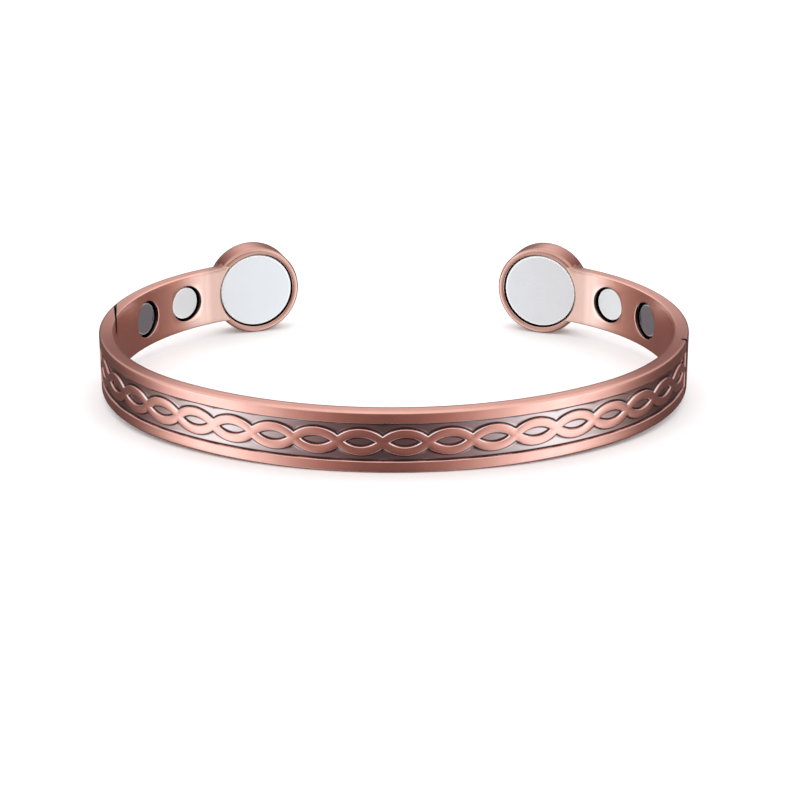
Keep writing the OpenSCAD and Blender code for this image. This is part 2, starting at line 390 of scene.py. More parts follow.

# %% [markdown]
# The slits are cut by moving the points of their floor columns: on the right everything nearer the outer
# face is pressed in to the slit's depth. On the left everything above the floor is pressed down, apart
# from a thin web that stays at the outer face. The slanted cut follows a straight line through the bent
# band, so its shift at each depth comes from a small table of that line. The insides are marked with -1,
# so that the finish paints them with near-black shade.

# %% Slits
SQUEEZE = 0.03  # pressed points keep this part of their spread, so that no two coincide


def floor_columns(place, width):
    """Which columns are at the sides of a slit's floor: those a hair inside half its width."""
    return np.abs(np.abs(places - place) - (width / 2 - HAIR)) < 1e-6


def lip_marks(place, width, lip, marks, open_rows):
    """Marks of the columns beside a slit: painted near-black shade as far as the lip, then a painted
    glint along its edge.
    """
    off = (np.abs(places - place) - width / 2)[:, None]
    beside = (off > -1e-6) & (off < lip + LIP_EDGE + 0.001)
    lip_mark = np.interp(off, [0, lip, lip + LIP_EDGE], [-1, -0.9, 0.06])
    return np.where(beside & open_rows, lip_mark, marks)


cut = floor_columns(RIGHT_SLIT, RIGHT_SLIT_W)
pressed = RIGHT_SLIT_DEPTH - SQUEEZE * (1 - grid_in[cut] / RIGHT_SLIT_DEPTH)
grid_wall[cut] = np.where(grid_in[cut] < RIGHT_SLIT_DEPTH, -1, grid_wall[cut])
grid_in[cut] = np.maximum(grid_in[cut], pressed)
grid_wall = lip_marks(RIGHT_SLIT, RIGHT_SLIT_W, RIGHT_LIP, grid_wall, grid_in < RIGHT_SLIT_DEPTH)

cut = floor_columns(LEFT_SLIT, left_w)
floor_up = H - LEFT_SLIT_DEPTH
pressed = floor_up + SQUEEZE * (grid_up[cut] - floor_up)
open_part = (grid_up > floor_up) & (grid_in > LEFT_SLIT_WEB)
# The slit's line across the top face is marked -1 as well, so it also carries painted near-black shade.
on_top = (grid_up > H - HAIR) & (grid_in > OUTER_EDGE - 0.02)
dark_part = open_part | on_top
grid_wall[cut] = np.where(dark_part[cut], -1, grid_wall[cut])
grid_wall = lip_marks(LEFT_SLIT, left_w, LEFT_LIP, grid_wall, dark_part)
grid_up[cut] = np.where(open_part[cut], pressed, grid_up[cut])

# The slanted line as depth and shift along the band, and how much of it each column takes.
line = np.linspace(-3, 3.3, 64)
line_in = T / 2 + line * np.tan(LEFT_SLIT_TURN)
line_depth = RADII[1] - np.hypot(line, RADII[1] - line_in)
line_shift = RADII[1] * np.arctan2(line, RADII[1] - line_in)
shear = np.interp(places, [-56.6, -53.1, -51.7, -45], [0, 1, 1, 0])
grid_place = grid_place + shear[:, None] * np.interp(grid_in, line_depth, line_shift)
slit_ends = LEFT_SLIT + np.interp([0, T], line_depth, line_shift)
print("the left slit crosses from place", np.round(slit_ends, 2))

# %% [markdown]
# The neck is worked out in the flat plane of the cup. Its columns go from straight to arcs about the
# cup's axis. Swellings join it to the cup's wall along both edges and on the outer face. On the
# inner face the curved band stands a little higher than the cup's rim, so it runs on over the rim
# as far as the pocket and has a lip of its own there. The other rows end inside the cup's wall.

# %% Necks at the cups
# One row for each column: how far it is bent to the cup's arc, how far it is past the cup's wall,
# how far the inner face drops at its lip, and the marks of wall and wear.
PLAIN = [0.9, 0.9, 0.9, 0.7, 0.58, 0.48, 0.39, 0.3, 0.22, 0.15, 0.08, 0, -0.15, -0.3, -0.46]
# The last rows go down into the pocket; their wall marks of -0.8 and -1 give them painted near-black
# shade.
NECK = np.array([[1, past_cup, 0, WALL_REACH, 0] for past_cup in PLAIN] + [
    [1, -0.61, 0, 0.5, 0.6], [1, -0.68, 0.02, 0.4, 1], [1, -0.73, 0.06, 0, 0.7],
    [1, -0.755, 0.13, -0.8, 0], [1, -0.755, 1, -1, 0]])
NECK[:2, 0] = 0.35, 0.7
LIP_FOOT = 1.66
EDGE_FILLETS = ((1, 0.55), (-1, 0.3))
BACK_FILLET, BACK_REACH = 0.5, 0.75
CAP_LEVEL, CAP_RING, CAP_MIDDLE = 0.7, 0.38, 0.35


def fillet(gap, radius):
    """Rise of a fillet above a flat face at a distance from the wall that it leads up to."""
    return radius - np.sqrt(np.maximum(radius ** 2 - (radius - np.clip(gap, 0, radius)) ** 2, 0))


def neck(side):
    """Points of one neck, column by column from the band to the cup: (along, inward, up)."""
    depth, up = grid_in[-1, None, :], grid_up[-1, None, :]
    t, offset, drop = (NECK[:, i:i + 1] for i in range(3))
    # Only rows within 0.2 mm of the inner face go on to the lip. The others end in the cup's wall.
    to_lip = np.clip((depth - T + 0.5) / 0.3, 0, 1)
    hidden = np.where(offset > -0.1, offset, 0.3 * offset - 0.07)
    from_axis = CUP_R + to_lip * offset + (1 - to_lip) * hidden
    start = (BACK_R - depth) * np.sin((CUP_PLACE - places[-1]) / BACK_R)
    a = (1 - t) * start + t * np.sqrt(from_axis ** 2 - up ** 2)
    level = BACK_R - np.sqrt((BACK_R - depth) ** 2 - a ** 2)
    level = level - to_lip * np.minimum(drop, np.maximum(level - LIP_FOOT, 0))
    gap = np.hypot(a, up) - CUP_R
    for sign, radius in EDGE_FILLETS:
        reach = np.sqrt((CUP_R + radius) ** 2 - (H + radius) ** 2)
        stop = reach * CUP_R / (CUP_R + radius)
        lift = radius - np.sqrt(radius ** 2 - np.clip(reach - np.maximum(a, stop), 0, radius) ** 2)
        up = up + sign * lift * np.clip(sign * up / H, 0, 1) ** 6
    outer = np.clip(1 - depth / BACK_REACH, 0, 1)
    level = level - outer ** 2 * (3 - 2 * outer) * fillet(gap, BACK_FILLET)
    cap_up, cap_level = up[-1:] * 0.5, CAP_LEVEL + (level[-1:] - CAP_LEVEL) * 0.4
    a = np.vstack([a, np.sqrt((CUP_R - CAP_RING) ** 2 - cap_up ** 2)])
    return -side * a, np.vstack([level, cap_level]), np.vstack([up, cap_up])


def with_neck(side):
    """Band columns of one neck as points, with their straightened places and marks."""
    along, level, up = neck(side)
    points = plane_points(side * CUP_PLACE, along, level, up)
    unrolled = side * (CUP_PLACE - BACK_R * np.arcsin(np.abs(along) / (BACK_R - level)))
    lip_wall, lip_worn = np.vstack([NECK[:, 3:], [-1, 0]])[:, :, None].transpose(1, 0, 2)
    on_face = level > T
    marks = [unrolled, level, up, np.minimum(lip_wall, grid_wall[-1]),
             np.where(lip_worn * on_face > 0, lip_worn, grid_worn[-1])]
    order = slice(None) if side > 0 else slice(None, None, -1)
    return points[order], [m[order] for m in marks]


middle_points = band_points(grid_place, grid_in, grid_up)
left_neck, left_marks = with_neck(-1)
right_neck, right_marks = with_neck(1)
points = np.concatenate([left_neck, middle_points, right_neck])
marks = [np.concatenate(parts) for parts in zip(
    left_marks, [grid_place, grid_in, grid_up, grid_wall, grid_worn], right_marks)]
columns, section = points.shape[:2]
index = np.arange(columns * section).reshape(columns, section)
print("the band's grid is", columns, "by", section)

# %% [markdown]
# ## Pockets for the small magnets
#
# Each pocket is milled into the inner face. In the grid it is a square block of faces that is taken
# out, and a patch that leads from the block's square outline to the round lip, over the lip, down
# the wall and across the floor. The patch starts on the grid's own points, so nothing leaks.

# %% Patches with a pocket
SMALL_R, SMALL_DEPTH, LIP = 2.2, 0.95, 0.1
FLOOR_LEVEL = T - SMALL_DEPTH
BLOCK_FACES = len(block) - 1
FIRST_INNER = outer_count + len(over)
lip_turn = np.radians([0, 30, 60, 90])
pocket_radius = np.concatenate([SMALL_R + LIP - LIP * np.sin(lip_turn), [SMALL_R, 2.15, 2.05, 1.0]])
pocket_foot = np.array([0.09, 0.02, 0.0, 0.0])
# The pocket's wall and floor are marked -0.7 and -1, so they carry painted near-black shade.
pocket_wall = np.array([0.6, 0.5, 0.3, 0.0, -0.7, -1, -1, -1, -1])
pocket_worn = np.array([0, 0.2, 0.4, 0.3, 0, 0, 0, 0, 0])


def block_of(place):
    """The square block of the grid around a pocket, and the ring of indices that is its outline."""
    c0 = len(left_neck) + int(np.argmin(np.abs(places - (place - BACK_R / INNER_R * BLOCK))))
    c1, r0, r1 = c0 + BLOCK_FACES, FIRST_INNER, FIRST_INNER + BLOCK_FACES
    outline = [index[c0:c1, r0], index[c1, r0:r1], index[c1:c0:-1, r1], index[c0, r1:r0:-1]]
    return (slice(c0, c1), slice(r0, r1)), np.concatenate(outline)


def pocket(place, outline):
    """Rings of a pocket: half way from its outline to the lip, over the lip, wall and floor."""
    a = INNER_R * np.sin((marks[0].ravel()[outline] - place) / BACK_R)
    up = marks[2].ravel()[outline]
    turn = np.arctan2(up, a)
    ring_a, ring_up = (pocket_radius[:, None] * way(turn) for way in (np.cos, np.sin))
    lip_face = BACK_R - np.sqrt(INNER_R ** 2 - ((SMALL_R + LIP) * np.cos(turn)) ** 2)
    lip_level = lip_face - LIP * (1 - np.cos(lip_turn))[:, None]
    foot_level = pocket_foot[:, None] + FLOOR_LEVEL + 0 * turn
    mid_a, mid_up = (a + ring_a[0]) / 2, (up + ring_up[0]) / 2
    mid_level = BACK_R - np.sqrt(INNER_R ** 2 - mid_a ** 2)
    return (np.vstack([mid_a, ring_a]), np.vstack([mid_level, lip_level, foot_level]),
            np.vstack([mid_up, ring_up]))


keep = np.ones((columns, section), bool)
keep[-1] = False
patch_points, patch_faces, patch_marks = [], [], []
offset = columns * section
for place in (-SMALL_PLACES[1], -SMALL_PLACES[0], *SMALL_PLACES):
    taken, outline = block_of(place)
    keep[taken] = False
    ring_a, level, ring_up = pocket(place, outline)
    rings = plane_points(place, ring_a, level, ring_up).reshape(-1, 3)
    ids = offset + np.arange(len(rings)).reshape(ring_a.shape)
    patch_faces += ring_faces(np.vstack([outline[None], ids]))
    patch_faces += [[i, j, offset + len(rings)] for i, j in zip(ids[-1], np.roll(ids[-1], -1))]
    patch_points.append(np.vstack([rings, plane_points(place, 0.0, FLOOR_LEVEL, 0.0)]))
    per_ring = [np.repeat(values, len(outline)) for values in (pocket_wall, pocket_worn)]
    patch_marks.append([np.append(values, last) for values, last in zip(
        ((place + ring_a).ravel(), level.ravel(), ring_up.ravel(), *per_ring),
        (place, FLOOR_LEVEL, 0, -1, 0))])
    offset += len(rings) + 1
print("four pockets add", len(patch_faces), "faces")

# %% [markdown]
# ## The cups
#
# A cup is a turned shape: floor, wall, a soft lip, a flat ring, a rounded rim, the outer wall and
# the back. It is cast on the end of the band, and its middle is drilled out for the magnet.

# %% Profile of a cup
CUP_LIP = 0.12
CUP_FLOOR, CUP_BACK = CUP_FACE - POCKET_DEPTH, CUP_FACE - CUP_DEPTH
SEGMENTS = 112
cup_profile = np.vstack([
    [[0, CUP_FLOOR], [2.5, CUP_FLOOR]],
    rounded((POCKET_R - 0.1, CUP_FLOOR + 0.1), 0.1, -90, 90, 2),
    [[POCKET_R, 0.8]],
    rounded((POCKET_R + CUP_LIP, CUP_FACE - CUP_LIP), CUP_LIP, 180, -90, 4),
    [[POCKET_R + 0.28, CUP_FACE]],
    rounded((CUP_R - CUP_EDGE, CUP_FACE - CUP_EDGE), CUP_EDGE, 90, -90, 5),
    [[CUP_R, 1.0], [CUP_R, 0.4], [CUP_R, -0.3]],
    rounded((CUP_R - CUP_EDGE, CUP_BACK + CUP_EDGE), CUP_EDGE, 0, -90, 5),
    [[4.2, CUP_BACK], [2.2, CUP_BACK], [0, CUP_BACK]]])
# The lip, the rim and the edge of the back are rubbed, and the inside is marked for painted near-black
# shade.
rim_worn = np.zeros(len(cup_profile))
rim_worn[6:9] = 0.6, 1, 0.6
rim_worn[12:15] = 0.6, 1, 0.7
rim_worn[21:24] = 0.6, 1, 0.6
rim_wall = np.where(np.arange(len(cup_profile)) < 6, -1, WALL_REACH)
rim_wall[5:9] = -1, -0.8, 0.0, 0.4
print("the profile of a cup has", len(cup_profile), "points")

# %% Band, pockets, necks and cups as one piece
all_points = [points.reshape(-1, 3), *patch_points]
all_marks = [np.concatenate([m.ravel()] + [p[i] for p in patch_marks]) for i, m in enumerate(marks)]
a, b = index[:-1], index[1:]
quads = np.stack([a, b, np.roll(b, -1, 1), np.roll(a, -1, 1)], axis=-1)[keep[:-1]]
all_faces = quads.tolist() + patch_faces
for side, column in ((-1, index[0]), (1, index[-1])):
    centre = plane_points(side * CUP_PLACE, -side * (CUP_R - CAP_MIDDLE), CAP_LEVEL, 0.0)
    values = (side * CUP_PLACE, CAP_LEVEL, 0, WALL_REACH, 0)
    all_points.append(centre[None])
    all_marks = [np.append(m, v) for m, v in zip(all_marks, values)]
    pairs = zip(column, np.roll(column, -1))
    all_faces += [[offset, i, j] if side < 0 else [i, offset, j] for i, j in pairs]
    offset += 1

turn = np.tile(np.linspace(0, 2 * np.pi, SEGMENTS, endpoint=False), len(cup_profile) - 2)
radius = np.repeat(cup_profile[1:-1, 0], SEGMENTS)
for side in (-1, 1):
    cup, faces = turned(cup_profile[:, 0], cup_profile[:, 1], side * CUP_PLACE, SEGMENTS)
    all_points.append(cup)
    all_faces += [[offset + i for i in face] for face in faces]
    values = (np.append(side * CUP_PLACE + radius * np.cos(turn), [side * CUP_PLACE] * 2),
              for_rings(cup_profile[:, 1], SEGMENTS), np.append(radius * np.sin(turn), [0, 0]),
              for_rings(rim_wall, SEGMENTS), for_rings(rim_worn, SEGMENTS))
    all_marks = [np.append(m, v) for m, v in zip(all_marks, values)]
    offset += len(cup)

skyward = np.zeros((columns, section))
skyward[len(left_neck):len(left_neck) + count, :outer_count] = facing_up
skyward = np.append(skyward.ravel(), np.zeros(offset - columns * section))
band = build("cuff_band", np.vstack(all_points), all_faces, {
    "straight": np.stack(all_marks[:3], axis=-1), "wall": all_marks[3], "worn": all_marks[4],
    "skyward": skyward})

# %% [markdown]
# ## The magnets
#
# They are pressed discs with a bright nickel plate and a fine bevel. Each sits on a film of glue a
# little below the rim, with a gap all round it that is dark with the painted near-black shade of the
# pocket. A cylinder with a bevel modifier would do as well. A turned profile needs no modifier and lets
# the bevel be marked for its painted highlight.

# %% Discs
def disc(name, place, radius, thickness, face, bevel, segments):
    """A disc with rounded rims: a turned profile from the middle of its face to that of its back.
    The bevel of the face is marked, because it carries a painted highlight ring, paler than the plate."""
    back = face - thickness
    profile = np.vstack([
        [[0, face], [radius * 0.5, face], [radius - bevel - 0.08, face]],
        rounded((radius - bevel, face - bevel), bevel, 90, -90, 4),
        rounded((radius - bevel, back + bevel), bevel, 0, -90, 3),
        [[0, back]]])
    shape, faces = turned(profile[:, 0], profile[:, 1], place, segments)
    bevel_highlight_mark = np.zeros(len(profile))
    bevel_highlight_mark[3:8] = 1
    return build(name, shape, faces, {"bevel": for_rings(bevel_highlight_mark, segments)})


END_SUNK, SMALL_SUNK = 0.25, 0.35
END_DISC = dict(radius=4.5, thickness=2.0, face=CUP_FACE - END_SUNK, bevel=0.16, segments=96)
SMALL_DISC = dict(radius=1.95, thickness=0.55, face=BAND_T - SMALL_SUNK, bevel=0.12, segments=64)
magnets = {}
for name, side in (("left", -1), ("right", 1)):
    magnets[f"end_magnet_{name}"] = disc(f"end_disc_{name}", side * CUP_PLACE, **END_DISC)
    for number, place in enumerate(SMALL_PLACES, start=1):
        magnets[f"small_magnet_{name}_{number}"] = disc(
            f"small_disc_{name}_{number}", side * place, **SMALL_DISC)

# %% [markdown]
# ## Which way is out
#
# A closed shape whose faces point outwards has a positive volume by the divergence theorem: a
# quick sum over its triangles tells whether it was built inside out.

# %% Volumes
def volume(piece):
    """Sum over the triangles of one sixth of the triple product of their corners, in cubic mm."""
    mesh = piece.data
    mesh.calc_loop_triangles()
    corners = np.empty(len(mesh.loop_triangles) * 3, np.int32)
    mesh.loop_triangles.foreach_get("vertices", corners)
    co = np.empty(len(mesh.vertices) * 3)
    mesh.vertices.foreach_get("co", co)
    t = co.reshape(-1, 3)[corners.reshape(-1, 3)]
    return float(np.einsum("ij,ij->i", t[:, 0], np.cross(t[:, 1], t[:, 2])).sum() / 6 * 1e9)


for piece in (band, *magnets.values()):
    print(piece.name, "encloses", round(volume(piece), 2), "cubic mm")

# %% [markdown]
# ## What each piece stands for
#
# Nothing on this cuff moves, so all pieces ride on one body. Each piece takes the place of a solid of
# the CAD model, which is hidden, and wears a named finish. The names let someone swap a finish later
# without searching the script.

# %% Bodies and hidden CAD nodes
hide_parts("band")
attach(band, "root")
for node, piece in magnets.items():
    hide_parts(node)
    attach(piece, "root")
print(1 + len(magnets), "pieces ride on one body")

# %% [markdown]
# ## Finishes
#
# A finish here is a short chain of nodes: masks say where, colours say what, and each mask lays its
# colour over the ones before. Small node groups hold the effects that several finishes share. A
# group gives out only masks and heights, and each material mixes them with its own colours.

# %% Help for wiring nodes
def group(name, inputs, outputs):
    """An empty node group with named sockets. Each socket is (name, type, default or None)."""
    tree = bpy.data.node_groups.new(name, "ShaderNodeTree")
    for way, sockets in (("INPUT", inputs), ("OUTPUT", outputs)):
        for label, kind, value in sockets:
            socket = tree.interface.new_socket(label, in_out=way, socket_type=kind)
            if value is not None:
                socket.default_value = value
    return tree, tree.nodes.new("NodeGroupInput").outputs, tree.nodes.new("NodeGroupOutput").inputs


def node(tree, kind, inputs=None, **settings):
    """Adds a node, sets its properties, and fills its inputs with values or links."""
    made = tree.nodes.new(kind)
    for key, value in settings.items():
        setattr(made, key, value)
    for key, value in (inputs or {}).items():
        if isinstance(value, bpy.types.NodeSocket):
            tree.links.new(value, made.inputs[key])
        else:
            made.inputs[key].default_value = value
    return made


def maths(tree, operation, *values):
    """One step of arithmetic on values or links."""
    return node(tree, "ShaderNodeMath", dict(enumerate(values)), operation=operation).outputs[0]


def times(tree, product, *others):
    """The product of several values. A product of masks holds where all of them hold."""
    for other in others:
        product = maths(tree, "MULTIPLY", product, other)
    return product


def ranged(tree, value, low, high, to_low=0.0, to_high=1.0):
    """A value's place between two limits, as a smooth step from one number to another."""
    return node(tree, "ShaderNodeMapRange", {
        "Value": value, "From Min": low, "From Max": high, "To Min": to_low, "To Max": to_high},
        interpolation_type="SMOOTHSTEP").outputs[0]


def mixed(tree, factor, a, b):
    """Colour a where the factor is 0, colour b where it is 1, and a blend between."""
    return node(tree, "ShaderNodeMix", {0: factor, 6: a, 7: b}, data_type="RGBA").outputs[2]


def ramp(tree, place, stops):
    """A colour ramp. Its stops are given from left to right: a position from 0 to 1 and a colour."""
    made = node(tree, "ShaderNodeValToRGB", {0: place})
    for number, (position, *colour) in enumerate(stops):  # a new ramp has two stops
        bar = made.color_ramp.elements
        stop = bar[number] if number < 2 else bar.new(1.0)
        stop.position, stop.color = position, (*colour, 1)
    return made.outputs[0]


def stored(tree, name, output="Fac"):
    """A value that was stored at the points of the mesh."""
    return node(tree, "ShaderNodeAttribute", attribute_name=name).outputs[output]


def material(name):
    """A material with a principled shader on its surface."""
    made = bpy.data.materials.new(name)
    made.use_nodes = True
    made.node_tree.nodes.clear()
    tree = made.node_tree
    shader = node(tree, "ShaderNodeBsdfPrincipled")
    surface = node(tree, "ShaderNodeOutputMaterial")
    tree.links.new(shader.outputs[0], surface.inputs[0])
    return made, tree, shader


FLOAT, VECTOR = "NodeSocketFloat", "NodeSocketVector"
print("node groups pass", FLOAT, "and", VECTOR)

# %% [markdown]
# ## Brush marks, tarnish and painted light
#
# A cuff is brushed along its length, so the first group stretches a noise along the band. A wide noise
# beside it gives the slow clouding of old metal. An antique finish is dark all over at first and is then
# rubbed back, so its patina stays in low and sheltered places. The second group therefore works from the
# distance to the relief's wall: patina on the sunk ground; nooks at the foot of a wall, which are patina
# with painted shade over it, darker where the wall faces up; painted glints along the top of a wall; and
# painted near-black shade inside slits and pockets. Noise alone would put the dark in the wrong places.

# %% Group: brushed grain
grain_group, given, out = group(
    "Brushed grain", [("Vector", VECTOR, None), ("Along", FLOAT, 0.35), ("Across", FLOAT, 9.0)],
    [("Fine", FLOAT, None), ("Cloud", FLOAT, None)])
scale = node(grain_group, "ShaderNodeCombineXYZ", {
    0: given["Along"], 1: given["Across"], 2: given["Across"]})
stretched = node(grain_group, "ShaderNodeVectorMath", {0: given["Vector"], 1: scale.outputs[0]},
                 operation="MULTIPLY")
fine = node(grain_group, "ShaderNodeTexNoise", {
    "Vector": stretched.outputs[0], "Scale": 1.0, "Detail": 4.0})
cloud = node(grain_group, "ShaderNodeTexNoise", {
    "Vector": given["Vector"], "Scale": 0.45, "Detail": 2.0})
grain_group.links.new(fine.outputs["Fac"], out["Fine"])
grain_group.links.new(cloud.outputs["Fac"], out["Cloud"])
print("brushed grain has", len(grain_group.nodes), "nodes")

# %% Group: tarnish and painted light
# The wall's mark is 0 at a wall, below 0 on the sunk ground, above 0 on strands and rims, and -1
# inside slits and pockets.
patina_and_painted_light_group, given, out = group(
    "Tarnish and painted light", [("Wall", FLOAT, 0.6), ("Skyward", FLOAT, 0.0), ("Cloud", FLOAT, 0.5)],
    [("Ground", FLOAT, None), ("Nook", FLOAT, None), ("Glint", FLOAT, None), ("Inside", FLOAT, None)])
sunk = ranged(patina_and_painted_light_group, given["Wall"], 0.03, -0.05)
patchy = ranged(patina_and_painted_light_group, given["Cloud"], 0.25, 0.75, 0.85, 1.0)
patina_and_painted_light_group.links.new(times(patina_and_painted_light_group, sunk, patchy), out["Ground"])
# Nooks: patina at the foot of a wall with painted shade over it, darker where the wall faces up.
near = ranged(patina_and_painted_light_group, given["Wall"], -0.2, -0.09)
far = ranged(patina_and_painted_light_group, given["Wall"], 0.02, -0.03)
shade_facing_up = ranged(patina_and_painted_light_group, given["Skyward"], -0.7, 0.3, 0.7, 1.0)
patina_and_painted_light_group.links.new(times(patina_and_painted_light_group, near, far, shade_facing_up), out["Nook"])
# Painted glints along the top of a wall, strongest where the wall faces up and on slanting shoulders.
near = ranged(patina_and_painted_light_group, given["Wall"], 0.0, 0.03)
far = ranged(patina_and_painted_light_group, given["Wall"], 0.14, 0.07)
glint_facing_up = ranged(patina_and_painted_light_group, given["Skyward"], -0.5, 0.6, 0.45, 1.0)
shoulder = ranged(patina_and_painted_light_group, given["Skyward"], 0.995, 0.88, 0.15, 1.0)
patina_and_painted_light_group.links.new(times(patina_and_painted_light_group, near, far, glint_facing_up, shoulder), out["Glint"])
# Painted near-black shade inside slits and pockets.
patina_and_painted_light_group.links.new(ranged(patina_and_painted_light_group, given["Wall"], -0.62, -0.8), out["Inside"])
print("tarnish has", len(patina_and_painted_light_group.nodes), "nodes")

# %% [markdown]
# ## Antique copper
#
# The casting is darkened in a bath and rubbed back by hand: rosy where it is bare, pale on rubbed edges,
# dark with patina in the sunk ground and in nooks. Painted light and shade lie over this: painted glints
# on the edges and shoulders of the strands, painted shade that dulls the edges, the outer face and the
# cup walls at the sides, and nearly black painted shade in nooks and inside slits and pockets. It could
# be painted as a picture. Here each tone is a layer with a mask of its own, because masks from stored
# marks stay sharp at any distance and follow the metal when a size is changed. Two ramps carry the slow
# change of tone along the inner face and along the sunk ground, and both hold painted light: a painted
# highlight near 68 mm and painted shade beside the cups on the inner face, a painted highlight about 18
# to 24 mm from the middle and painted shade towards the sides on the ground. All limits are in mm: along
# the band from the middle of the front, in through its thickness, and up from its middle line.

# %% Material: antique copper
copper, tree, shader = material("antique copper")
straight = stored(tree, "straight", "Vector")
grain = node(tree, "ShaderNodeGroup", {"Vector": straight}, node_tree=grain_group).outputs
patina_and_painted_light = node(tree, "ShaderNodeGroup", {
    "Wall": stored(tree, "wall"), "Skyward": stored(tree, "skyward"), "Cloud": grain["Cloud"]},
    node_tree=patina_and_painted_light_group).outputs

spot = node(tree, "ShaderNodeSeparateXYZ", {0: straight}).outputs
along = maths(tree, "ABSOLUTE", spot[0])
inner_face = ranged(tree, spot[1], 1.35, 1.55)
not_inner = maths(tree, "SUBTRACT", 1.0, inner_face)
edge_face = ranged(tree, maths(tree, "ABSOLUTE", spot[2]), 3.2, 3.38)
not_edge = maths(tree, "SUBTRACT", 1.0, edge_face)
# Painted shade on the upper and lower edges towards the sides of the band.
side_edge_shade = times(tree, ranged(tree, along, 20, 34), ranged(tree, along, 63, 37), edge_face)
# Painted shade on the walls of the cups.
cup_wall_shade = times(tree, ranged(tree, along, 71, 72.5), ranged(tree, along, 77, 73.8), edge_face,
                  not_inner, ranged(tree, spot[1], -1.4, -0.9))
# Painted shade on the outer face at the sides, fading out towards the cups.
side_face_shade = times(tree, ranged(tree, along, 24, 37), ranged(tree, along, 60, 46, 0.0, 0.38),
                  not_inner, not_edge)
# Painted glints on the edges of the strands, weaker past 34 mm.
glints = times(tree, patina_and_painted_light["Glint"], ranged(tree, along, 39, 34, 0.1, 1.0))

# Painted light along the inner face: a pale painted highlight near 68 mm and painted shade from 71 mm
# on, beside the cups.
INNER_LIGHT_AND_SHADE = [(65.5, 0.97, 0.5, 0.4), (68, 1, 0.68, 0.58), (69.5, 0.9, 0.6, 0.51), (71, 0.5, 0.31, 0.25),
         (73, 0.44, 0.26, 0.2), (77, 0.58, 0.33, 0.26)]
# Patina of the sunk ground, with a painted highlight about 18 to 24 mm from the middle and painted shade
# towards the sides.
GROUND_PATINA_AND_LIGHT = [(0, 0.34, 0.28, 0.3), (9, 0.39, 0.32, 0.33), (18, 0.56, 0.43, 0.4), (24, 0.5, 0.37, 0.35),
          (30, 0.36, 0.25, 0.24), (36, 0.2, 0.14, 0.14)]


def by_place(stops, longest):
    """A colour ramp along the band: stops of millimetres from its middle and a colour."""
    return ramp(tree, maths(tree, "DIVIDE", along, longest),
                [(mm / longest, *colour) for mm, *colour in stops])


cloudy = ranged(tree, grain["Cloud"], 0.3, 0.7)
tone = mixed(tree, cloudy, (0.78, 0.395, 0.325, 1), (0.82, 0.425, 0.35, 1))
# From the bare metal up: painted highlight and shade along the inner face, painted shade on the edges at
# the sides, painted shade on the walls of the cups, worn edges, painted glints on the strands, painted
# shade on the outer face at the sides, the sunk ground's patina with its painted highlight and shade,
# nooks of patina and painted shade, and painted near-black shade inside slits and pockets.
layers = [
    (times(tree, inner_face, 0.8), by_place(INNER_LIGHT_AND_SHADE, 84)),
    (side_edge_shade, (0.27, 0.07, 0.048, 1)),
    (times(tree, cup_wall_shade, 0.85), (0.3, 0.09, 0.065, 1)),
    (times(tree, stored(tree, "worn"), 0.35), (0.94, 0.66, 0.58, 1)),
    (glints, (1.0, 0.9, 0.87, 1)),
    (side_face_shade, (0.15, 0.05, 0.05, 1)),
    (patina_and_painted_light["Ground"], by_place(GROUND_PATINA_AND_LIGHT, 50)),
    (times(tree, patina_and_painted_light["Nook"], 0.95), (0.02, 0.01, 0.012, 1)),
    (patina_and_painted_light["Inside"], (0.012, 0.007, 0.007, 1))]
for mask, colour in layers:
    tone = mixed(tree, mask, tone, colour)
tree.links.new(tone, shader.inputs["Base Color"])
shader.inputs["Metallic"].default_value = 1.0
rough = ranged(tree, grain["Fine"], 0.3, 0.7, 0.23, 0.27)
rough = maths(tree, "SUBTRACT", rough, times(tree, patina_and_painted_light["Ground"], 0.1))
tree.links.new(rough, shader.inputs["Roughness"])
bump = node(tree, "ShaderNodeBump", {"Height": grain["Fine"], "Strength": 0.035, "Distance": 0.0001})
tree.links.new(bump.outputs[0], shader.inputs["Normal"])
band.data.materials.append(copper)
print("antique copper has", len(layers), "layers over the bare metal")

# %% [markdown]
# ## Nickel plate
#
# The magnets are plated, because bare ones rust. Plate is a smooth metal with faint clouding and
# hairline marks. One function makes the three plates, which differ in colour and in how dull they are:
# bright discs in the cups, a pair near the front whose bluish colour is a painted reflection, and a
# frosted pair near the cups whose near-white colour is a painted reflection. The bevel carries a painted
# highlight ring: it is less metallic and paler, so it stays light whatever it mirrors.

# %% Material: nickel plate
# The colour of the painted highlight ring on a magnet's bevel.
BEVEL_HIGHLIGHT = (0.95, 0.95, 0.96, 1)


